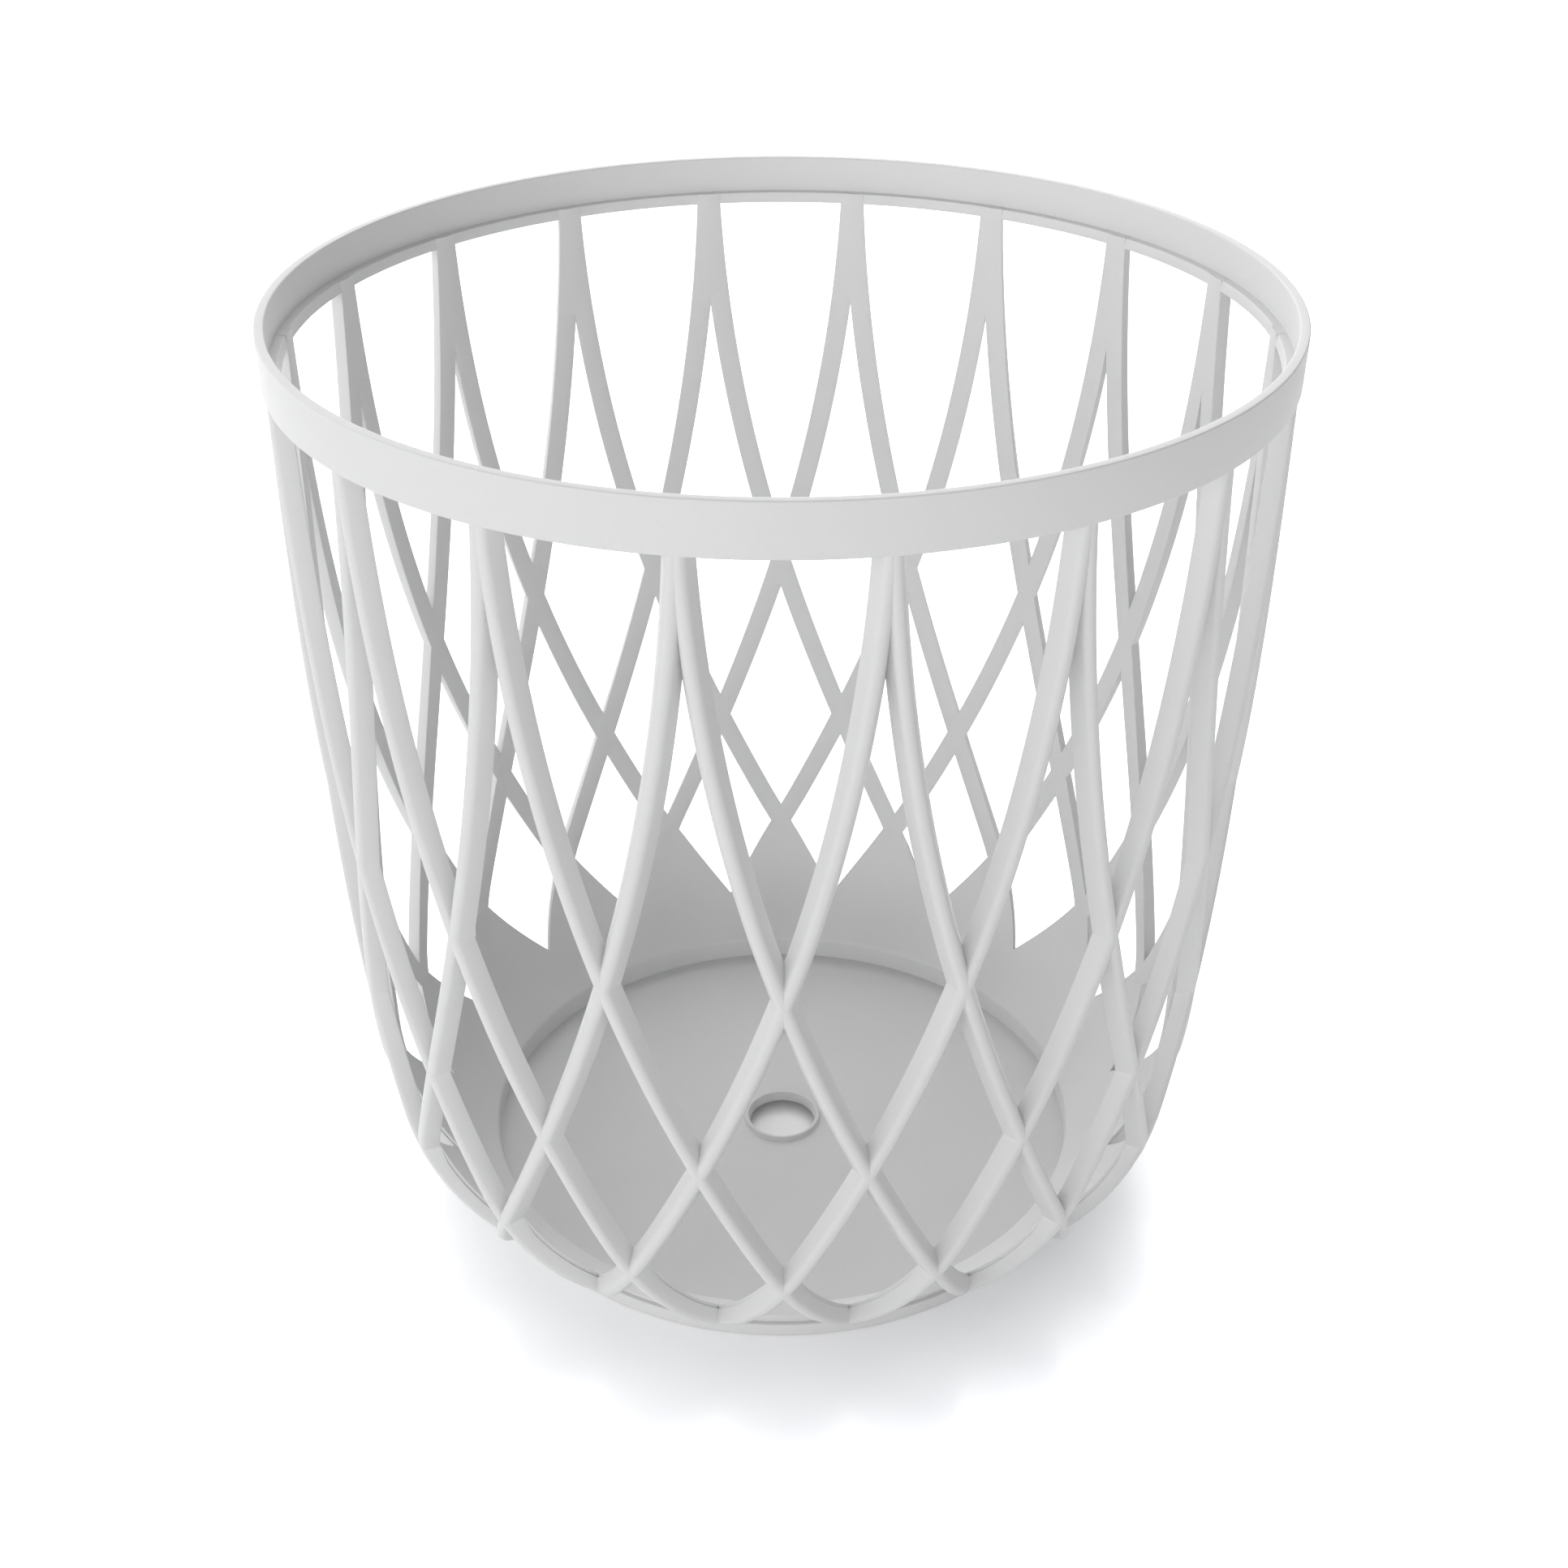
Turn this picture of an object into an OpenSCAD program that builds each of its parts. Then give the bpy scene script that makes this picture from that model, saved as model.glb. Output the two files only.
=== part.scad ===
// Round umbrella stand: a lattice basket of slanting ribs between a plain rim and a recessed floor.
// Millimetres, +Z up, origin at the centre of the base, on the surface that it stands on.

/* [Overall] */
// Height from the ground to the top of the rim
height = 400; // [340:5:470]
// Diameter over the top of the rim band
rim_d = 387; // [350:1:440]

/* [Rim] */
// Height of the rim band
band_h = 19; // [12:0.5:30]
// Thickness of the rim band
band_wall = 3.4; // [2.4:0.1:5]
// How much further out the band's top edge stands than its foot
band_flare = 0.4; // [0:0.1:1.5]
// Radius of the band's top edges
band_round = 1.1; // [0.4:0.1:1.1]
// Height of the ring that gathers the ribs inside the band
ring_h = 4.4; // [2.5:0.1:8]
// How far the ring's inner face slopes back towards its top
ring_draft = 0.8; // [0:0.1:1.6]

/* [Wall shape] */
// Lean of the wall from the vertical at its top, in degrees
lean_top = 0.25; // [0:0.05:2]
// Lean of the wall from the vertical where the bottom curve starts
lean_low = 5.25; // [4:0.05:8]
// Radius of the bottom curve, over the ribs
curve_r = 86; // [78:0.5:92]

/* [Ribs] */
// Pairs of ribs, each one leaning to the left and one to the right
rib_pairs = 18; // [14:1:24]
// Width of a rib
rib_w = 9.1; // [6:0.1:11]
// Depth of a rib from its rounded face to its flat one
rib_depth = 7.2; // [6.2:0.1:9]
// Slant of a rib where it leaves the rim, in degrees
slant_top = 1.3; // [0:0.05:2]
// Height of a rib's rounded face
rib_crown = 2.65; // [1:0.05:3]
// How far the ribs lie inside the band's foot
rib_inset = 0.5; // [0:0.1:1.5]
// Share of the rib's depth that the outer rib of a crossing takes
lap_share = 0.5; // [0.45:0.01:0.55]
// How far outside the floor's wall two neighbouring ribs meet
mitre_out = 17; // [14:0.5:24]

/* [Bowl and floor] */
// Thickness of the bowl behind the ribs
bowl_wall = 2.4; // [1.6:0.1:2.4]
// Clearance between the bowl and the ribs that lie on it
bowl_fit = 0.3; // [0.25:0.05:0.5]
// Inner diameter of the recess that holds the floor
floor_d = 262; // [244:1:280]
// Thickness of the wall round the floor
neck_wall = 2.5; // [1.6:0.1:3.5]
// Thickness of the floor
floor_wall = 2.5; // [1.6:0.1:4]
// Diameter of the drain hole
drain_d = 30; // [16:1:60]
// Height of the collar round the drain hole
collar_h = 1.9; // [1.4:0.1:4]
// Width of the collar at its foot
collar_w = 2.9; // [2.2:0.1:5]

/* [Foot] */
// Height of the foot ring
foot_h = 6; // [4:0.1:8]
// Height of the slit between the foot ring and the bowl
slit_h = 7.2; // [5:0.1:10]
// Thickness of the foot ring's upright wall
foot_wall = 2; // [1.2:0.1:3]
// Height of the foot ring's shelf, which lifts the floor off the ground
shelf_h = 2.1; // [1.2:0.1:3]
// Width of the shelf under the floor
shelf_w = 6; // [4:0.5:12]

/* [Hidden] */
$fn = 96;
deg = 180 / PI;
spare = 3; // how far a cutter runs past what it cuts
blank = 300; // longer than any radius of the part
half_pitch = 180 / rib_pairs; // angle between neighbouring crossings of one rib
reach = 4; // a rib turns through this many half pitches
lap_count = reach - 1; // crossings of one rib between its two ends
lap_play = 0.1; // gap under the edges of the inner rib where it climbs the outer one
crown_steps = 4; // flat strips across the rounded face of a rib
round_steps = 5; // flat strips round a small edge

// The wall's profile, over the ribs: a long shallow arc that turns into the bottom curve.
band_z = height - band_h;
band_foot_r = rim_d / 2 - band_flare;
crown_r = band_foot_r - rib_inset;
neck_r = floor_d / 2 + neck_wall;
function long_r_for(h) = (band_z - h) / (sin(lean_low) - sin(lean_top));
function curve_x_for(h) = crown_r - long_r_for(h) * (cos(lean_top) - cos(lean_low))
    - curve_r * cos(lean_low);

// The bottom curve starts at the height that leaves the slit open between the bowl and the foot.
function bowl_foot(h) = h + curve_r * sin(lean_low)
    - sqrt(pow(curve_r - rib_depth + bowl_wall, 2) - pow(neck_r - curve_x_for(h), 2));
function find_curve_h(low, high, tries = 32) = tries == 0 ? (low + high) / 2
    : let (middle = (low + high) / 2) bowl_foot(middle) < foot_h + slit_h
    ? find_curve_h(middle, high, tries - 1) : find_curve_h(low, middle, tries - 1);
curve_h = find_curve_h(0, height / 2);
long_r = long_r_for(curve_h);
curve_s = band_h + long_r * (lean_low - lean_top) / deg;
curve_x = curve_x_for(curve_h);
curve_z = curve_h + curve_r * sin(lean_low);

// Lean, radius and height of the wall at a distance s down it from the top of the rim
function lean_at(s) = s < curve_s ? lean_top + (s - band_h) / long_r * deg
    : lean_low + (s - curve_s) / curve_r * deg;
function radius_at(s) = s < curve_s ? crown_r - long_r * (cos(lean_top) - cos(lean_at(s)))
    : curve_x + curve_r * cos(lean_at(s));
function height_at(s) = s < curve_s ? band_z - long_r * (sin(lean_at(s)) - sin(lean_top))
    : curve_z - curve_r * sin(lean_at(s));

// A rib leaves the rim at a slight slant, and its sideways slope grows evenly with s.
mitre_s = curve_s + (acos((neck_r + mitre_out - curve_x) / curve_r) - lean_low) / deg * curve_r;
function total(list, i = 0) = i == len(list) ? 0 : list[i] + total(list, i + 1);
simpson = 24; // strips of the sums that add up a rib's turn
function turn_sum(s, power) = s / simpson / 3 * total([for (i = [0:simpson])
    let (t = s * i / simpson, weight = i == 0 || i == simpson ? 1 : i % 2 == 1 ? 4 : 2)
    weight * pow(t, power) / radius_at(t)]);
drift = (reach * half_pitch / deg - tan(slant_top) * turn_sum(mitre_s, 0)) / turn_sum(mitre_s, 1);
function turn_at(s) = (tan(slant_top) * turn_sum(s, 0) + drift * turn_sum(s, 1)) * deg;
function slant_at(s) = atan(tan(slant_top) + drift * s);
function find_s(turn, low, high, tries = 32) = tries == 0 ? (low + high) / 2
    : let (middle = (low + high) / 2) turn_at(middle) < turn
    ? find_s(turn, middle, high, tries - 1) : find_s(turn, low, middle, tries - 1);

// Where a rib crosses its neighbours, and how far each crossing reaches along the wall
lap_s = [for (k = [1:lap_count]) find_s(k * half_pitch, 0, mitre_s)];
lap_reach = [for (s = lap_s) (rib_w / 2 / tan(slant_at(s)) + spare) * cos(slant_at(s))];
rib_end_s = mitre_s + rib_w / 2 / sin(slant_at(mitre_s)) + spare;
bowl_top_s = lap_s[lap_count - 1];

// A point of a rib: across it by side, and below its rounded face by depth
function outward(s, turn) = let (lean = lean_at(s))
    [cos(lean) * cos(turn), cos(lean) * sin(turn), -sin(lean)];
function downward(s, turn) = let (lean = lean_at(s))
    [-sin(lean) * cos(turn), -sin(lean) * sin(turn), -cos(lean)];
function rib_point(s, side, depth) = let (turn = turn_at(s), slant = slant_at(s))
    [radius_at(s) * cos(turn), radius_at(s) * sin(turn), height_at(s)]
    + side * (cos(slant) * [-sin(turn), cos(turn), 0] - sin(slant) * downward(s, turn))
    - depth * outward(s, turn);

// The rib's section: a flat inner face, flat sides and a rounded face
crown_radius = (rib_w * rib_w / 4 + rib_crown * rib_crown) / (2 * rib_crown);
crown_half = acos((crown_radius - rib_crown) / crown_radius);
section = concat([[rib_w / 2, rib_depth], [-rib_w / 2, rib_depth]],
    [for (i = [0:crown_steps]) let (a = crown_half * (2 * i / crown_steps - 1))
        [crown_radius * sin(a), crown_radius * (1 - cos(a))]]);
function rib_ring(s, over = 0, under = 0) = [for (q = section)
    rib_point(s, q[0], q[1] < rib_depth ? q[1] - over : q[1] + under)];

function between(a, b, spans) = [for (i = [1:spans - 1]) a + (b - a) * i / spans];
function lap_from(k) = lap_s[k] - lap_reach[k];
function lap_to(k) = lap_s[k] + lap_reach[k];
function lap_rings(k) = k < lap_count - 1 ? [lap_from(k), lap_to(k)]
    : [lap_from(k), lap_s[k], lap_to(k)];
curve_stations = between(lap_to(lap_count - 1), rib_end_s, 4);
rib_stations = concat([band_h - spare], between(band_h - spare, lap_from(0), 4),
    lap_rings(0), between(lap_to(0), lap_from(1), 2),
    lap_rings(1), between(lap_to(1), lap_from(2), 2),
    lap_rings(2), curve_stations, [rib_end_s]);

LEFT = [for (i = [1:rib_pairs]) str("rib_left_", i < 10 ? "0" : "", i)];
RIGHT = [for (i = [1:rib_pairs]) str("rib_right_", i < 10 ? "0" : "", i)];

// A closed solid through rings that all have the same number of points
module skin(rings) {
    n = len(rings[0]);
    last = (len(rings) - 1) * n;
    polyhedron(
        points = [for (ring = rings) each ring],
        faces = concat(
            [[for (i = [n - 1:-1:0]) i]],
            [[for (i = [0:n - 1]) last + i]],
            [for (j = [0:len(rings) - 2], i = [0:n - 1]) let (a = j * n, k = (i + 1) % n)
                each [[a + i, a + n + k, a + n + i], [a + i, a + k, a + n + k]]]));
}

// The outer or the inner half of the wall round crossing k, split by a flat plane
module lap_half(k, outer) {
    s = lap_s[k];
    size = 4 * lap_reach[k];
    lap_depth = rib_depth * lap_share;
    rotate([0, 0, (k + 1) * half_pitch])
        translate([radius_at(s), 0, height_at(s)])
            rotate([0, lean_at(s), 0])
                translate([outer ? -lap_depth : -lap_depth - size, -size / 2, -size / 2])
                    cube(size);
}

// The stretch of the rib that crosses at k, up to its side of the lap
module lap_cutter(k, outer) {
    over = outer ? lap_play : 0;
    under = outer ? 0 : spare;
    intersection() {
        rotate([0, 0, 2 * (k + 1) * half_pitch])
            mirror([0, 1, 0])
                skin([for (s = lap_rings(k)) rib_ring(s, over, under)]);
        lap_half(k, outer);
    }
}

// The step in the back of a rib that lets it lie on the bowl, level along its upper end
module bowl_step() {
    top_s = bowl_top_s - bowl_fit;
    side = rib_w / 2 + spare / 2;
    from = rib_depth - bowl_wall - bowl_fit;
    to = rib_depth + spare;
    corners = [[side, from], [side, to], [-side, to], [-side, from]];
    skin(concat(
        [[for (q = corners) rib_point(top_s + q[0] * sin(slant_at(top_s)), q[0], q[1])]],
        [for (s = concat([lap_to(lap_count - 1)], curve_stations, [rib_end_s + spare]))
            [for (q = corners) rib_point(s, q[0], q[1])]]));
}

// The flat wedge between two leans, seen from the centre of the bottom curve
module curve_wedge(from, to) {
    translate([curve_x, curve_z])
        polygon([[0, 0], [blank * cos(from), -blank * sin(from)],
            [blank * cos(to), -blank * sin(to)]]);
}

// A rib that leans to the right, from the middle plane of its pair to the mitre at its foot
module rib(outer) {
    color("whitesmoke")
        difference() {
            intersection() {
                skin([for (s = rib_stations) rib_ring(s)]);
                linear_extrude(band_z)
                    polygon([[0, 0], [blank, 0],
                        [blank * cos(reach * half_pitch), blank * sin(reach * half_pitch)]]);
            }
            for (k = [0:lap_count - 1])
                lap_cutter(k, !outer);
            bowl_step();
        }
}

// Pairs stand at both sides of the front, which faces -Y
function pair_angle(i) = (2 * i - 1) * half_pitch - 90;

module rib_right(i) {
    rotate([0, 0, pair_angle(i)])
        rib(true);
}

module rib_left(i) {
    rotate([0, 0, pair_angle(i)])
        mirror([0, 1, 0])
            rib(false);
}

// A quarter round of radius r in the corner at x, y, turned to the left or to the right
function corner_round(x, y, r, to_right) = [for (i = [0:round_steps])
    let (a = 90 * i / round_steps)
    to_right ? [x - r + r * sin(a), y - r + r * cos(a)] : [x + r - r * cos(a), y - r + r * sin(a)]];

module rim_band() {
    inner_r = band_foot_r - band_wall;
    color("whitesmoke")
        rotate_extrude()
            polygon(concat([[inner_r, band_z]],
                corner_round(inner_r, height, band_round, false),
                corner_round(rim_d / 2, height, band_round, true),
                [[band_foot_r, band_z]]));
}

module top_ring() {
    inner_r = crown_r - rib_depth;
    color("whitesmoke")
        rotate_extrude()
            polygon([[inner_r, band_z], [inner_r + ring_draft, band_z + ring_h],
                [band_foot_r - band_wall, band_z + ring_h], [band_foot_r - band_wall, band_z]]);
}

// One opening of the lattice above the bowl, cut square to the wall along the ribs' upper edges
module window_cutter() {
    foot_s = window_foot(bowl_top_s, mitre_s);
    top_s = bowl_top_s - spare;
    from = -spare;
    to = rib_depth + spare;
    turn = reach * half_pitch;
    rotate([0, 0, turn])
        skin([for (s = concat([foot_s], between(foot_s, top_s, 6), [top_s]))
            let (a = unturn(rib_point(s, rib_w / 2, from), turn),
                b = unturn(rib_point(s, rib_w / 2, to), turn))
            [a, b, [b[0], -b[1], b[2]], [a[0], -a[1], a[2]]]]);
}

function unturn(p, turn) = [p[0] * cos(turn) + p[1] * sin(turn),
    p[1] * cos(turn) - p[0] * sin(turn), p[2]];

// Where the upper edge of a rib comes within a hair of the mitre plane
hair = 0.02;
function window_foot(low, high, tries = 32) = let (middle = (low + high) / 2)
    tries == 0 ? low
    : max([for (depth = [-spare, rib_depth + spare])
        unturn(rib_point(middle, rib_w / 2, depth), reach * half_pitch)[1]]) < -hair
    ? window_foot(middle, high, tries - 1) : window_foot(low, middle, tries - 1);

module bowl() {
    inner_r = curve_r - rib_depth;
    color("gainsboro")
        difference() {
            rotate_extrude()
                intersection() {
                    translate([curve_x, curve_z])
                        difference() {
                            circle(inner_r + bowl_wall);
                            circle(inner_r);
                        }
                    curve_wedge(lean_at(bowl_top_s), 90);
                    translate([neck_r, 0])
                        square([blank, blank]);
                }
            for (i = [1:rib_pairs])
                rotate([0, 0, pair_angle(i)])
                    window_cutter();
        }
}

// The floor, with the collar round its drain hole
module floor_pan() {
    floor_z = shelf_h + floor_wall;
    drain_r = drain_d / 2;
    lip_r = drain_r + collar_w / 2;
    lip_round = collar_w / 5;
    color("gainsboro")
        rotate_extrude()
            polygon([[drain_r, shelf_h], [floor_d / 2, shelf_h], [floor_d / 2, floor_z],
                [drain_r + collar_w, floor_z], [lip_r + lip_round, floor_z + collar_h - lip_round],
                [lip_r + lip_round / 2, floor_z + collar_h],
                [lip_r - lip_round / 2, floor_z + collar_h],
                [lip_r - lip_round, floor_z + collar_h - lip_round], [drain_r, floor_z]]);
}

// The wall round the floor, cut off level with the inside of the bowl
module floor_rim() {
    color("gainsboro")
        rotate_extrude()
            difference() {
                translate([floor_d / 2, shelf_h])
                    square([neck_wall, curve_z - shelf_h]);
                translate([curve_x, curve_z])
                    circle(curve_r - rib_depth);
            }
}

module foot_ring() {
    color("gainsboro")
        rotate_extrude()
            polygon([[neck_r - shelf_w, 0], [neck_r + foot_wall, 0], [neck_r + foot_wall, foot_h],
                [neck_r, foot_h], [neck_r, shelf_h], [neck_r - shelf_w, shelf_h]]);
}

rim_band();
top_ring();
for (i = [1:rib_pairs]) {
    rib_left(i);
    rib_right(i);
}
bowl();
floor_pan();
floor_rim();
foot_ring();
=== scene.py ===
from math import acos, asin, atan, atan2, cos, pi, radians, sin, tan

import bpy
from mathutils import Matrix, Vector


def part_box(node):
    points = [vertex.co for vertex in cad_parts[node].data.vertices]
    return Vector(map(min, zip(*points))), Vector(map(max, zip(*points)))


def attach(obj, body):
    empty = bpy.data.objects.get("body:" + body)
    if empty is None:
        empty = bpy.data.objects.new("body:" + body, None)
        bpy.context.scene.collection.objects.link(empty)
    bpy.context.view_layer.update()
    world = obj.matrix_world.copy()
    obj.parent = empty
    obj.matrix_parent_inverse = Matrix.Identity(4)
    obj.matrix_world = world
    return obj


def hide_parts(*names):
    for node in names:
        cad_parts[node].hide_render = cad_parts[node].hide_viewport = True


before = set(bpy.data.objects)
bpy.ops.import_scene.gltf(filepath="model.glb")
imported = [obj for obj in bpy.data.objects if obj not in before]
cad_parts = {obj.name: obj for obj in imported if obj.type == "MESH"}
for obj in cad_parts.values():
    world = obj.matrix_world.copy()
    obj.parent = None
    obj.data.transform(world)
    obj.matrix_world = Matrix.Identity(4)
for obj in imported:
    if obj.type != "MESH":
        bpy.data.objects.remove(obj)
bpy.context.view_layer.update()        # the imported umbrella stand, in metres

mm = 0.001


def nodeBox(name):        # a node's corners in millimetres
    return [[float(v) / mm for v in corner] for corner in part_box(name)]


bandBox, ringBox = nodeBox("rim_band"), nodeBox("top_ring")
panBox, footBox = nodeBox("floor_pan"), nodeBox("foot_ring")
height, bandZ, floorZ = bandBox[1][2], bandBox[0][2], panBox[0][2]

# the rule of the wall, in millimetres: a long shallow arc that turns into the bottom curve
wall = {
    "floorRadius": 131.0,
    "leanTop": 0.25,        # degrees from the vertical under the band
    "leanLow": 5.25,        # and where the bottom curve starts
    "curveRadius": 86.0,        # over the ribs
    "slit": 7.2,        # between the foot ring and the bowl
    "pairs": 18,
    "slantTop": 1.3,        # degrees, of a rib where it leaves the rim
    "mitreOut": 17,        # how far outside the floor's wall two ribs meet
}
rim = {
    "radius": 193.5,
    "flare": 0.4,        # the band's foot is narrower by this much
    "wall": 3.4,
    "footDrop": 0.7,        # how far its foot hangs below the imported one
    "round": 0.6,
    "footRound": 0.8,
    "innerRound": 0.3,        # of the foot's inner edge
}
rib = {
    "width": 9.5,        # of the inner face
    "depth": 7.15,
    "crest": 0.3,        # how far the crown stands over the wall's own line
    "top": 4.2,        # width between the sloping flanks at the crown
    "crown": 2.7,        # rounding between crown and flanks
    "edge": 0.4,        # rounding of the two inner edges
    "inset": 0.5,        # how far the ribs lie inside the band's foot
}
shell = {
    "depth": 7.2,        # the bowl's inner face, below the wall's own line
    "thick": 2.4,
    "tuck": 0.15,        # how far its edge hides behind the ribs
    "lip": 0.7,        # rounding where the bowl drops to the floor
    "neckWall": 2.5,
}

bandFoot = rim["radius"] - rim["flare"]
bandInner = bandFoot - rim["wall"]
bandHeight = height - bandZ
crownRadius = bandFoot - rib["inset"]
neckRadius = wall["floorRadius"] + shell["neckWall"]
curveRadius = wall["curveRadius"]
leanTop, leanLow = radians(wall["leanTop"]), radians(wall["leanLow"])
halfPitch = pi / wall["pairs"]
ribTurn = 4 * halfPitch        # from the rim to the mitre


def solve(test, low, high):        # where test turns from true to false
    for _ in range(40):
        middle = (low + high) / 2
        low, high = (middle, high) if test(middle) else (low, middle)
    return (low + high) / 2


def longRadiusFor(start):        # the long arc, if the bottom curve starts at that height
    return (bandZ - start) / (sin(leanLow) - sin(leanTop))


def curveXFor(start):
    inward = longRadiusFor(start) * (cos(leanTop) - cos(leanLow))
    return crownRadius - inward - curveRadius * cos(leanLow)


def bowlFoot(start):        # height of the bowl's underside at the floor's wall
    under = curveRadius - shell["depth"] + shell["thick"]
    drop = (under ** 2 - (neckRadius - curveXFor(start)) ** 2) ** 0.5
    return start + curveRadius * sin(leanLow) - drop


curveHeight = solve(lambda start: bowlFoot(start) < footBox[1][2] + wall["slit"], 0, height / 2)
longRadius, curveX = longRadiusFor(curveHeight), curveXFor(curveHeight)
curveStart = bandHeight + longRadius * (leanLow - leanTop)
curveZ = curveHeight + curveRadius * sin(leanLow)


def curvePoint(depth, lean):        # radius and height on the bottom curve, this deep in the wall
    return curveX + (curveRadius - depth) * cos(lean), curveZ - (curveRadius - depth) * sin(lean)


def curveLean(depth, radius):        # and the lean where it comes in to a radius
    return acos((radius - curveX) / (curveRadius - depth))


mitreS = curveStart + (curveLean(0, neckRadius + wall["mitreOut"]) - leanLow) * curveRadius


def leanAt(s):        # s runs down the wall from the top of the rim
    if s < curveStart:
        return leanTop + (s - bandHeight) / longRadius
    return leanLow + (s - curveStart) / curveRadius


def radiusAt(s):
    if s < curveStart:
        return crownRadius - longRadius * (cos(leanTop) - cos(leanAt(s)))
    return curvePoint(0, leanAt(s))[0]


def heightAt(s):
    if s < curveStart:
        return bandZ - longRadius * (sin(leanAt(s)) - sin(leanTop))
    return curvePoint(0, leanAt(s))[1]


def turnSum(s, power, strips=24):        # Simpson's sum of t ** power / radius from 0 to s
    total = 0.0
    for i in range(strips + 1):
        t = s * i / strips
        total += (1 if i in (0, strips) else 4 if i % 2 else 2) * t ** power / radiusAt(t)
    return total * s / strips / 3


slopeTop = tan(radians(wall["slantTop"]))
drift = (ribTurn - slopeTop * turnSum(mitreS, 0)) / turnSum(mitreS, 1)


def turnAt(s):        # a rib's sideways slope grows evenly on the way down
    return slopeTop * turnSum(s, 0) + drift * turnSum(s, 1)


def slantAt(s):
    return atan(slopeTop + drift * s)


def outwardAt(s):        # the wall's outward direction at the rib's centre line
    lean, turn = leanAt(s), turnAt(s)
    return Vector((cos(lean) * cos(turn), cos(lean) * sin(turn), -sin(lean)))


def ribPoint(s, side, depth):
    lean, turn, slant = leanAt(s), turnAt(s), slantAt(s)
    down = Vector((-sin(lean) * cos(turn), -sin(lean) * sin(turn), -cos(lean)))
    across = cos(slant) * Vector((-sin(turn), cos(turn), 0)) - sin(slant) * down
    centre = Vector((radiusAt(s) * cos(turn), radiusAt(s) * sin(turn), heightAt(s)))
    return centre + side * across - depth * outwardAt(s)


lastCrossing = solve(lambda s: turnAt(s) < 3 * halfPitch, 0, mitreS)        # the bowl starts here
firstPair = halfPitch - pi / 2        # pairs stand at both sides of the front
print("wall rule: drift %.6f, last crossing %.1f, mitre %.1f" % (drift, lastCrossing, mitreS))


# node trees: sockets that can be used in sums, and one method for every other node
class Wire:
    def __init__(self, graph, socket):
        self.graph, self.socket = graph, socket

    def out(self, name):        # another output of the same node
        return Wire(self.graph, self.socket.node.outputs[name])

    def maths(self, operation, *values):
        return self.graph.node("ShaderNodeMath", {"operation": operation}, dict(enumerate(values)))

    def __add__(self, other):
        return self.maths("ADD", self, other)

    def __radd__(self, other):
        return self.maths("ADD", other, self)

    def __sub__(self, other):
        return self.maths("SUBTRACT", self, other)

    def __rsub__(self, other):
        return self.maths("SUBTRACT", other, self)

    def __mul__(self, other):
        return self.maths("MULTIPLY", self, other)

    def __rmul__(self, other):
        return self.maths("MULTIPLY", other, self)

    def __truediv__(self, other):
        return self.maths("DIVIDE", self, other)

    def __gt__(self, other):
        return self.maths("GREATER_THAN", self, other)


class Graph:
    def __init__(self, tree):
        self.tree = tree

    def node(self, kind, settings=None, inputs=None, output=0):
        made = self.tree.nodes.new(kind)
        for name, value in (settings or {}).items():
            setattr(made, name, value)
        for name, value in (inputs or {}).items():
            for one in value if isinstance(value, list) else [value]:
                if isinstance(one, Wire):
                    self.tree.links.new(one.socket, made.inputs[name])
                else:
                    made.inputs[name].default_value = one
        return Wire(self, made.outputs[output]) if len(made.outputs) else made


def emptyGraph(owner):        # of a new material or world
    owner.use_nodes = True
    owner.node_tree.nodes.clear()
    return Graph(owner.node_tree)


plastic = {
    "rim": {"tone": 0.67, "grain": 1500.0, "speck": 0.030, "rough": 0.46, "bump": 0.10},
    "ribs": {"tone": 0.67, "grain": 1500.0, "speck": 0.030, "rough": 0.46, "bump": 0.10},
    # the base pieces' tone is a little darker than the rim's and ribs': painted shade standing for
    # the hollow of the bowl
    "base": {"tone": 0.65, "grain": 1300.0, "speck": 0.042, "rough": 0.52, "bump": 0.14},
}
moulding = {        # what the three have in common
    "tint": {"Red": 0.998, "Green": 1.0, "Blue": 1.004},
    "patch": 22.0,        # size of the wide, faint unevenness
    "patchShade": 0.02,
    "patchRough": 0.08,
    "grainRough": 0.10,
    "grainHeight": 0.0003,
    "index": 1.46,
}


def mattePlastic(name, look):
    material = bpy.data.materials.new(name)
    graph = emptyGraph(material)
    place = graph.node("ShaderNodeTexCoord").out("Object")
    grain = graph.node("ShaderNodeTexNoise", None, {
        "Vector": place, "Scale": look["grain"], "Detail": 2.0, "Roughness": 0.6})
    patch = graph.node("ShaderNodeTexNoise", None, {
        "Vector": place, "Scale": moulding["patch"], "Detail": 3.0, "Roughness": 0.5})
    shade = look["tone"] * (1 + (grain - 0.5) * (2 * look["speck"])
                            + (patch - 0.5) * moulding["patchShade"])
    colour = graph.node("ShaderNodeCombineColor", None, {
        part: shade * glowPastPaintedShadow for part, glowPastPaintedShadow in moulding["tint"].items()})
    rough = (look["rough"] + (grain - 0.5) * moulding["grainRough"]
             + (patch - 0.5) * moulding["patchRough"])
    bump = graph.node("ShaderNodeBump", None, {
        "Height": grain, "Strength": look["bump"], "Distance": moulding["grainHeight"]})
    skin = graph.node("ShaderNodeBsdfPrincipled", None, {
        "Base Color": colour, "Roughness": rough, "Normal": bump, "IOR": moulding["index"]})
    graph.node("ShaderNodeOutputMaterial", None, {"Surface": skin})
    return material


finishes = {name: mattePlastic("mattePlastic" + name.capitalize(), look)
            for name, look in plastic.items()}
print("finishes made:", ", ".join(finishes))


def linked(name, data):
    made = bpy.data.objects.new(name, data)
    bpy.context.scene.collection.objects.link(made)
    return made


def addPiece(mesh, slotName, nodes):
    piece = linked(mesh.name, mesh)
    if not mesh.materials:
        mesh.materials.append(finishes[slotName])
    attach(piece, "root")
    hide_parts(*nodes)
    print("made", mesh.name, len(mesh.polygons), "faces")


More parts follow.
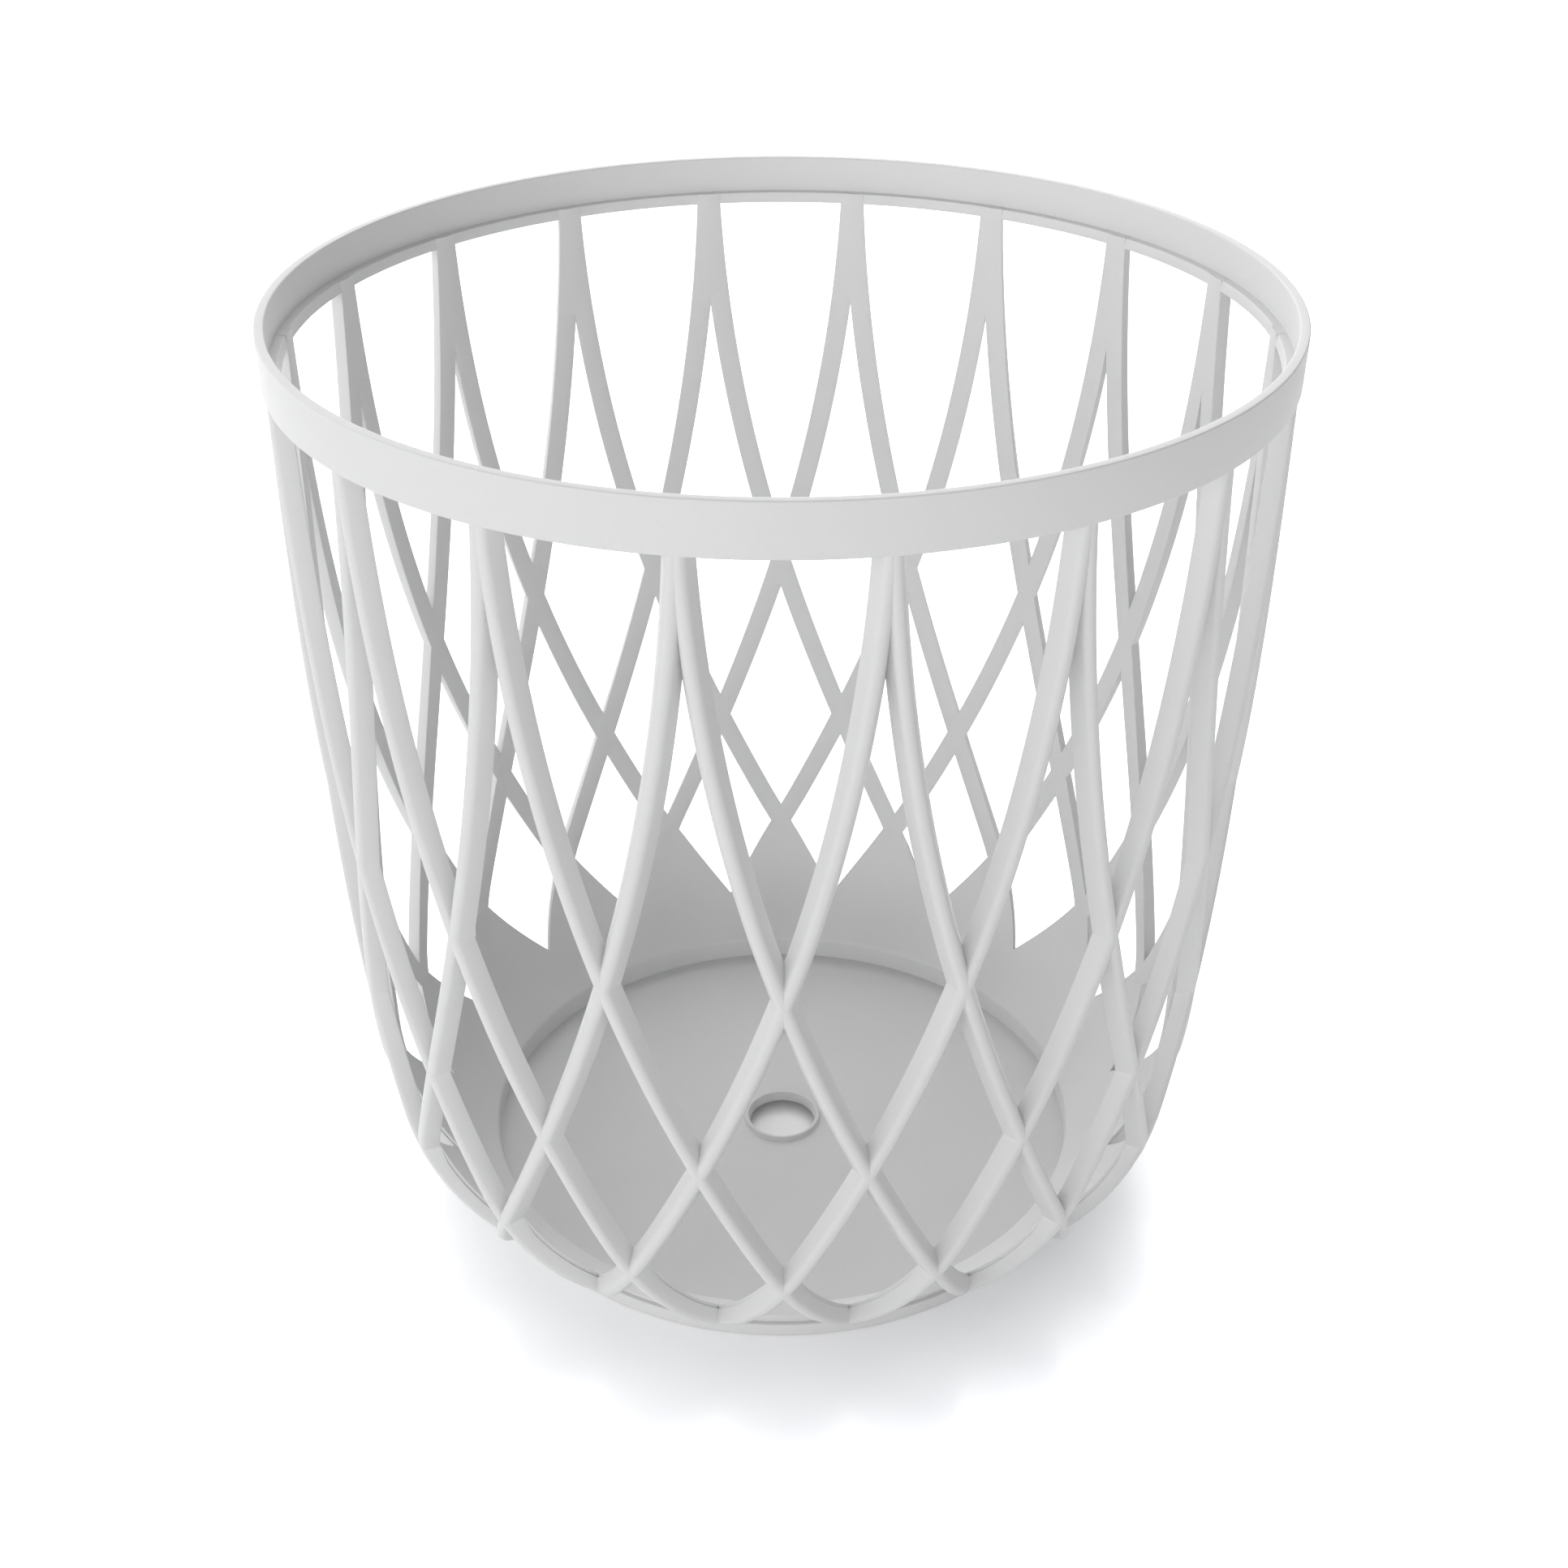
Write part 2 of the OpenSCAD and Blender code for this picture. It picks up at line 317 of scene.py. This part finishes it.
def roundedCorners(corners, steps=5):        # outline from corners of (radius, height, rounding)
    outline = []
    for i, (x, y, rounding) in enumerate(corners):
        here = Vector((x, y))
        before = Vector(corners[i - 1][:2]) - here
        after = Vector(corners[(i + 1) % len(corners)][:2]) - here
        if not rounding:
            outline.append(here)
            continue
        before.normalize(), after.normalize()
        half = before.angle(after) / 2
        run = rounding * cos(half) / sin(half)        # from the corner to where the arc starts
        heart = here + (before + after).normalized() * rounding / sin(half)
        start, end = here + before * run - heart, here + after * run - heart
        sweep = start.angle(end)
        for k in range(steps + 1):
            t = k / steps
            spoke = (start * sin((1 - t) * sweep) + end * sin(t * sweep)) / sin(sweep)
            outline.append(heart + spoke)
    return outline


def joinedLoops(name, loops, crease=40):        # skin over closed loops of (radius, height, turn)
    count = len(loops[0])
    points, faces = [], []
    for j, loop in enumerate(loops):
        points += [(r * cos(turn) * mm, r * sin(turn) * mm, z * mm) for r, z, turn in loop]
        a, b = j * count, (j + 1) % len(loops) * count
        faces += [(a + i, b + i, b + (i + 1) % count, a + (i + 1) % count) for i in range(count)]
    mesh = bpy.data.meshes.new(name)
    mesh.from_pydata(points, [], faces)
    mesh.validate()
    mesh.shade_smooth()
    mesh.set_sharp_from_angle(angle=radians(crease))
    return mesh


def spun(name, corners, turns=288):        # corners that run clockwise, spun about the axis
    outline = roundedCorners(corners)
    angles = [2 * pi * j / turns for j in range(turns)]
    return joinedLoops(name, [[(r, z, angle) for r, z in outline] for angle in angles])


bandLow = bandZ - rim["footDrop"]
addPiece(spun("rimBand", [
    (bandInner, bandLow, rim["innerRound"]), (bandFoot, bandLow, rim["footRound"]),
    (rim["radius"], height, rim["round"]), (bandInner, height, rim["round"])]),
    "rim", ["rim_band"])

ring = {
    "draft": 0.8,        # how much wider it is at the top
    "round": 0.35,
    "seat": 0.6,        # how far it is let into the band
    "lift": 0.02,        # keeps the two undersides apart
}
ringInner, ringOuter = crownRadius - shell["depth"], bandInner + ring["seat"]
ringTop = ringBox[1][2]
addPiece(spun("topRing", [
    (ringInner, bandZ, ring["round"]), (ringOuter, bandZ + ring["lift"], 0),
    (ringOuter, ringTop, 0), (ringInner + ring["draft"], ringTop, ring["round"])]),
    "rim", ["top_ring"])


# the lattice: one rib swept down its rail, mitred, mirrored, repeated and joined
lattice = {
    "stations": 74,        # points down the rail
    "headIn": 0.05,        # how far under the ring's top it starts
    "pastMitre": 14.0,        # and how far it runs on
    "edgeSteps": 3,
    "crownSteps": 7,
    "hiddenPart": 0.7,        # share of the depth, below which the rib is the bowl's to cover
    "hiddenStep": 1.2,        # how far that part steps back
    "hiddenFrom": 2.0,        # down the wall from the last crossing
    "hiddenFull": 8.0,
    "crease": 32,        # degrees, a sharper bend stays an edge
}


def latticeTree():
    tree = bpy.data.node_groups.new("ribLattice", "GeometryNodeTree")
    sockets = tree.interface
    sockets.new_socket("Geometry", in_out="INPUT", socket_type="NodeSocketGeometry")
    for name in ("Rib Width", "Rib Depth", "Crest Height", "Top Width", "Crown Round", "Edge Round",
                 "Mitre Angle", "First Pair", "Bowl Start", "Hidden Step"):
        sockets.new_socket(name, in_out="INPUT", socket_type="NodeSocketFloat")
    sockets.new_socket("Pairs", in_out="INPUT", socket_type="NodeSocketInt")
    sockets.new_socket("Finish", in_out="INPUT", socket_type="NodeSocketMaterial")
    sockets.new_socket("Geometry", in_out="OUTPUT", socket_type="NodeSocketGeometry")
    graph = Graph(tree)
    given = graph.node("NodeGroupInput")
    depth, crest = given.out("Rib Depth"), given.out("Crest Height")
    edgeRound, crownRound = given.out("Edge Round"), given.out("Crown Round")
    bowlStart = given.out("Bowl Start")

    def named(name, kind="FLOAT"):
        return graph.node("GeometryNodeInputNamedAttribute", {"data_type": kind}, {"Name": name})

    # section: flanks that slope from the inner face to a narrow rounded crown
    section = graph.node("GeometryNodeCurvePrimitiveQuadrilateral", {"mode": "TRAPEZOID"}, {
        "Height": crest + depth, "Bottom Width": given.out("Rib Width"),
        "Top Width": given.out("Top Width"), "Offset": 0.0})
    section = graph.node("GeometryNodeTransform", None, {
        "Geometry": section, "Rotation": (0.0, 0.0, -pi / 2),
        "Translation": graph.node("ShaderNodeCombineXYZ", None, {"X": (crest - depth) * 0.5})})
    spot = graph.node("ShaderNodeSeparateXYZ", None, {
        "Vector": graph.node("GeometryNodeInputPosition")})
    isFront = spot.out("X") > 0
    section = graph.node("GeometryNodeFilletCurve", {"mode": "POLY"}, {
        "Curve": section, "Limit Radius": True,
        "Radius": edgeRound + isFront * (crownRound - edgeRound),
        "Count": isFront * (lattice["crownSteps"] - lattice["edgeSteps"]) + lattice["edgeSteps"]})
    for name, value in (("below", 0 - spot.out("X")), ("across", spot.out("Y"))):
        section = graph.node(
            "GeometryNodeStoreNamedAttribute", {"data_type": "FLOAT", "domain": "POINT"}, {
                "Geometry": section, "Name": name, "Value": value})

    # sweep: the rail carries the wall's outward direction
    rail = graph.node("GeometryNodeMeshToCurve", None, {"Mesh": given.out("Geometry")})
    rail = graph.node("GeometryNodeSetCurveNormal", {"mode": "FREE"}, {
        "Curve": rail, "Normal": named("outward", "FLOAT_VECTOR")})
    swept = graph.node("GeometryNodeCurveToMesh", None, {
        "Curve": rail, "Profile Curve": section, "Fill Caps": True})

    # the flat face steps back where the bowl covers it
    slant = named("slant")
    level = named("along") + named("across") * slant.maths("SINE", slant)
    inBowl = graph.node("ShaderNodeMapRange", {"clamp": True}, {
        "Value": level, "From Min": bowlStart + lattice["hiddenFrom"] * mm,
        "From Max": bowlStart + lattice["hiddenFull"] * mm})
    hidden = named("below") > depth * lattice["hiddenPart"]
    swept = graph.node("GeometryNodeSetPosition", None, {
        "Geometry": swept, "Offset": graph.node("ShaderNodeVectorMath", {"operation": "SCALE"}, {
            "Vector": named("outward", "FLOAT_VECTOR"),
            "Scale": hidden * inBowl * given.out("Hidden Step")})})

    # mitre: everything past the plane where two ribs meet at the foot comes off
    block = graph.node("GeometryNodeMeshCube", None, {"Size": (1.0, 1.0, 1.0)})
    block = graph.node("GeometryNodeTransform", None, {
        "Geometry": block, "Translation": (0.0, 0.5, 0.0)})
    block = graph.node("GeometryNodeTransform", None, {
        "Geometry": block,
        "Rotation": graph.node("ShaderNodeCombineXYZ", None, {"Z": given.out("Mitre Angle")})})
    right = graph.node(
        "GeometryNodeMeshBoolean", {"operation": "DIFFERENCE", "solver": "MANIFOLD"}, {
            "Mesh 1": swept, "Mesh 2": block})
    left = graph.node("GeometryNodeTransform", None, {"Geometry": right, "Scale": (1.0, -1.0, 1.0)})
    left = graph.node("GeometryNodeFlipFaces", None, {"Mesh": left})

    # repeat both round the axis and join them where they cross
    pairs = given.out("Pairs")
    spots = graph.node("GeometryNodeMeshLine", None, {"Count": pairs, "Offset": (0.0, 0.0, 0.0)})
    turn = graph.node("GeometryNodeInputIndex") * (2 * pi) / pairs + given.out("First Pair")
    turned = graph.node("ShaderNodeCombineXYZ", None, {"Z": turn})
    sets = [graph.node("GeometryNodeRealizeInstances", None, {
        "Geometry": graph.node("GeometryNodeInstanceOnPoints", None, {
            "Points": spots, "Instance": one, "Rotation": turned})}) for one in (right, left)]
    joined = graph.node(
        "GeometryNodeMeshBoolean", {"operation": "UNION", "solver": "MANIFOLD"}, {"Mesh 2": sets})
    for name in ("below", "across", "along", "slant", "outward"):
        joined = graph.node("GeometryNodeRemoveAttribute", None, {"Geometry": joined, "Name": name})
    joined = graph.node("GeometryNodeSetShadeSmooth", {"domain": "FACE"}, {"Geometry": joined})
    bend = graph.node("GeometryNodeInputMeshEdgeAngle").out("Unsigned Angle")
    joined = graph.node("GeometryNodeSetShadeSmooth", {"domain": "EDGE"}, {
        "Geometry": joined, "Selection": bend > radians(lattice["crease"]), "Shade Smooth": False})
    joined = graph.node("GeometryNodeRealizeInstances", None, {"Geometry": joined})
    joined = graph.node("GeometryNodeSetMaterial", None, {
        "Geometry": joined, "Material": given.out("Finish")})
    graph.node("NodeGroupOutput", None, {"Geometry": joined})
    return tree


def ribRail():        # points down a rib's crown, with the wall's direction at each
    start, end = height - ringTop + lattice["headIn"], mitreS + lattice["pastMitre"]
    last = lattice["stations"] - 1
    stops = [start + (end - start) * i / last for i in range(last + 1)]
    mesh = bpy.data.meshes.new("ribRail")
    mesh.from_pydata([ribPoint(s, 0, 0) * mm for s in stops], [(i, i + 1) for i in range(last)], [])
    for name, kind, part, values in (
            ("outward", "FLOAT_VECTOR", "vector", [v for s in stops for v in outwardAt(s)]),
            ("along", "FLOAT", "value", [s * mm for s in stops]),
            ("slant", "FLOAT", "value", [slantAt(s) for s in stops])):
        mesh.attributes.new(name, kind, "POINT").data.foreach_set(part, values)
    return mesh


def grown(name, mesh, tree, values):        # runs a tree on a mesh and returns the plain result
    carrier = linked(name, mesh)
    modifier = carrier.modifiers.new(name, "NODES")
    modifier.node_group = tree
    for item in tree.interface.items_tree:
        if item.in_out == "INPUT" and item.name in values:
            modifier[item.identifier] = values[item.name]
    bpy.context.view_layer.update()
    seen = carrier.evaluated_get(bpy.context.evaluated_depsgraph_get())
    made = bpy.data.meshes.new_from_object(seen)
    carrier.modifiers.remove(modifier)
    bpy.data.objects.remove(carrier)
    made.name = name
    return made


latticeMesh = grown("ribLattice", ribRail(), latticeTree(), {
    "Rib Width": rib["width"] * mm, "Rib Depth": rib["depth"] * mm,
    "Crest Height": rib["crest"] * mm, "Top Width": rib["top"] * mm,
    "Crown Round": rib["crown"] * mm, "Edge Round": rib["edge"] * mm,
    "Mitre Angle": ribTurn, "First Pair": firstPair, "Bowl Start": lastCrossing * mm,
    "Hidden Step": lattice["hiddenStep"] * mm, "Pairs": wall["pairs"], "Finish": finishes["ribs"]})
addPiece(latticeMesh, "ribs", ["rib_%s_%02d" % (side, i) for side in ("left", "right")
                               for i in range(1, wall["pairs"] + 1)])


# the bowl: its upper edge follows the ribs from each crossing down to the mitre
flankSlope = (rib["width"] - rib["top"]) / 2 / (rib["depth"] + rib["crest"])


def edgePoint(s, depth):        # turn from the mitre plane and lean of the bowl's edge beside a rib
    side = rib["top"] / 2 + flankSlope * (depth + rib["crest"]) - shell["tuck"]
    p = ribPoint(s, side, depth)
    return atan2(p.y, p.x) - ribTurn, asin((curveZ - p.z) / (curveRadius - depth))


def bowlEdge(depth, along=13, level=3):        # one pitch of the edge, from crossing to crossing
    topLean = leanAt(lastCrossing)
    low = solve(lambda s: edgePoint(s, depth)[0] < 0, lastCrossing, mitreS + 10)
    high = solve(lambda s: edgePoint(s, depth)[1] < topLean, lastCrossing - 5, low)
    beside = [edgePoint(high + (low - high) * i / along, depth) for i in range(along + 1)]
    beside[-1] = (0.0, beside[-1][1])
    flat = [(-halfPitch + (beside[0][0] + halfPitch) * i / level, topLean) for i in range(level)]
    half = flat + beside
    return half + [(-turn, lean) for turn, lean in reversed(half[1:-1])]


def bowlMesh(rows=12, lipSteps=6):
    inner, outer = shell["depth"], shell["depth"] - shell["thick"]
    sill, lip = wall["floorRadius"], shell["lip"]
    footLean, lipLean = curveLean(outer, neckRadius), curveLean(inner, sill + 2 * lip)
    lipTop = Vector(curvePoint(inner, lipLean))
    corner = Vector((sill, curvePoint(inner, curveLean(inner, sill))[1]))
    lipFoot = Vector((sill, corner.y - 2 * lip))
    rounding = [lipTop * (1 - t) ** 2 + corner * 2 * t * (1 - t) + lipFoot * t * t
                for t in (i / lipSteps for i in range(lipSteps + 1))]
    edges = list(zip(bowlEdge(outer), bowlEdge(inner)))
    loops = []
    for i in range(wall["pairs"]):
        base = firstPair + 2 * i * halfPitch
        for (outerTurn, outerLean), (innerTurn, innerLean) in edges:
            loop = []
            for j in range(rows + 1):        # up the outside
                lean = footLean + (outerLean - footLean) * j / rows
                loop.append((*curvePoint(outer, lean), base + outerTurn))
            for j in range(rows):        # down the inside
                lean = innerLean + (lipLean - innerLean) * j / rows
                loop.append((*curvePoint(inner, lean), base + innerTurn))
            loop += [(r, z, base + innerTurn) for r, z in rounding]
            loop += [(r, floorZ, base + innerTurn) for r in (sill, neckRadius)]
            loops.append(loop)
    return joinedLoops("bowlShell", loops)


addPiece(bowlMesh(), "base", ["bowl", "floor_rim"])

floor = {
    "thick": 2.5,
    "seat": 0.4,        # how far it reaches into the wall of the recess
    "lift": 0.02,        # keeps the two undersides apart
    "drain": 15.0,
    "drainRound": 0.3,
    "collarWidth": 2.9,
    "collarTop": 1.1,        # width of its flat top
    "collarRound": 0.5,
    "throat": 0.2,        # how far over the floor the collar's inner slope starts
    "throatRound": 0.4,
}
floorTop, floorOuter = floorZ + floor["thick"], wall["floorRadius"] + floor["seat"]
collarZ, drain = panBox[1][2], floor["drain"]
collarMiddle, collarHalf = drain + floor["collarWidth"] / 2, floor["collarTop"] / 2
addPiece(spun("floorPan", [
    (drain, floorZ, floor["drainRound"]),
    (floorOuter, floorZ + floor["lift"], 0), (floorOuter, floorTop, 0),
    (drain + floor["collarWidth"], floorTop, floor["collarRound"]),
    (collarMiddle + collarHalf, collarZ, floor["collarRound"]),
    (collarMiddle - collarHalf, collarZ, floor["collarRound"]),
    (drain, floorTop + floor["throat"], floor["throatRound"])]), "base", ["floor_pan"])

foot = {
    "shelfHeight": 2.1,
    "shelfWidth": 6.0,
    "round": 0.4,
    "neckRound": 0.2,
    "shelfRound": 0.3,
}
footLow, footTop, footOuter = footBox[0][2], footBox[1][2], footBox[1][0]
shelfInner = neckRadius - foot["shelfWidth"]
addPiece(spun("footRing", [
    (shelfInner, footLow, foot["round"]), (footOuter, footLow, foot["round"]),
    (footOuter, footTop, foot["round"]), (neckRadius, footTop, foot["neckRound"]),
    (neckRadius, foot["shelfHeight"], 0), (shelfInner, foot["shelfHeight"], foot["shelfRound"])]),
    "base", ["foot_ring"])


stage = {
    "size": 12.0,
    "level": -0.0002,        # just under the stand
    "tone": (0.90, 0.90, 0.90, 1),
    "rough": 0.22,
    "patch": 6.0,        # size and strength of a faint unevenness
    "patchRough": 0.02,
    "glow": {"Red": 0.67, "Green": 0.68, "Blue": 0.71},        # only seen, makes the ground white; its faint blue tints the painted shadow
    "glowFrom": (0.112, 0.0),        # distance from the axis and share of the glow, which fades toward the stand: a painted shadow round its foot
    "glowFull": (0.212, 1.0),
}
light = {
    "sky": 0.16,        # what the surroundings give
    "lamps": {        # strength, height, turn from the front to the left, softness
        "frontLeft": (1.24, 5, 22, 50),
        "left": (1.26, 5, 67, 50),
        "leftBack": (0.80, 5, 112, 50),
        "frontRight": (0.98, 5, -23, 50),
        "back": (2.45, 30, 170, 75),
        "top": (0.15, 55, 180, 50),
    },
}
view = {
    "from": (-2.5, -787.7, 658.4),
    "down": 31.34,        # degrees below the horizon
    "turn": -0.24,
    "lens": 49.645,
    "sensor": 36.0,
    "shift": 0.00968,
    "near": 0.01,
}


def seenStraight(graph):        # 1 for the camera, mirrors and glass, 0 for light on the stand
    rays = graph.node("ShaderNodeLightPath")
    mirrored = rays.maths("MAXIMUM", rays.out("Is Glossy Ray"), rays.out("Is Transmission Ray"))
    return rays.maths("MAXIMUM", rays.out("Is Camera Ray"), mirrored)


def groundMaterial():
    material = bpy.data.materials.new("paleGround")
    graph = emptyGraph(material)
    place = graph.node("ShaderNodeTexCoord").out("Object")
    patch = graph.node("ShaderNodeTexNoise", None, {
        "Vector": place, "Scale": stage["patch"], "Detail": 2.0})
    away = graph.node("ShaderNodeVectorMath", {"operation": "LENGTH"}, {0: place}, "Value")
    # the glow fades out toward the stand, painting a shadow round its foot
    glowPastPaintedShadow = graph.node("ShaderNodeMapRange", {"clamp": True}, {
        "Value": away, "From Min": stage["glowFrom"][0], "From Max": stage["glowFull"][0],
        "To Min": stage["glowFrom"][1], "To Max": stage["glowFull"][1]})
    seen = seenStraight(graph) * glowPastPaintedShadow
    glow = graph.node("ShaderNodeCombineColor", None, {
        part: seen * strength for part, strength in stage["glow"].items()})
    face = graph.node("ShaderNodeBsdfPrincipled", None, {
        "Base Color": stage["tone"], "Emission Color": glow, "Emission Strength": 1.0,
        "Roughness": stage["rough"] + (patch - 0.5) * stage["patchRough"]})
    graph.node("ShaderNodeOutputMaterial", None, {"Surface": face})
    return material


def addGround():
    half, z = stage["size"] / 2, stage["level"]
    mesh = bpy.data.meshes.new("ground")
    mesh.from_pydata([(-half, -half, z), (half, -half, z), (half, half, z), (-half, half, z)],
                     [], [(0, 1, 2, 3)])
    mesh.materials.append(groundMaterial())
    linked("ground", mesh)


def addSky():
    world = bpy.data.worlds.new("studio")
    bpy.context.scene.world = world
    graph = emptyGraph(world)
    sky = graph.node("ShaderNodeBackground", None, {
        "Color": (1.0, 1.0, 1.0, 1.0),
        "Strength": light["sky"] + seenStraight(graph) * (1.0 - light["sky"])})
    graph.node("ShaderNodeOutputWorld", None, {"Surface": sky})


def addSun(name, strength, up, left, soft):
    lamp = bpy.data.lights.new(name, "SUN")
    lamp.energy, lamp.angle = strength, radians(soft)
    up, left = radians(up), radians(left)
    towards = Vector((-sin(left) * cos(up), -cos(left) * cos(up), sin(up)))
    linked(name, lamp).rotation_euler = towards.to_track_quat("Z", "Y").to_euler()


def addCamera():
    camera = linked("camera", bpy.data.cameras.new("camera"))
    camera.location = Vector(view["from"]) * mm
    camera.rotation_euler = (radians(90 - view["down"]), 0, radians(view["turn"]))
    camera.data.lens, camera.data.sensor_width = view["lens"], view["sensor"]
    camera.data.shift_y, camera.data.clip_start = view["shift"], view["near"]
    bpy.context.scene.camera = camera


addGround()
addSky()
for lampName, lampValues in light["lamps"].items():
    addSun(lampName, *lampValues)
addCamera()
bpy.context.scene.view_settings.view_transform = "Standard"
print("stage, light and camera set")
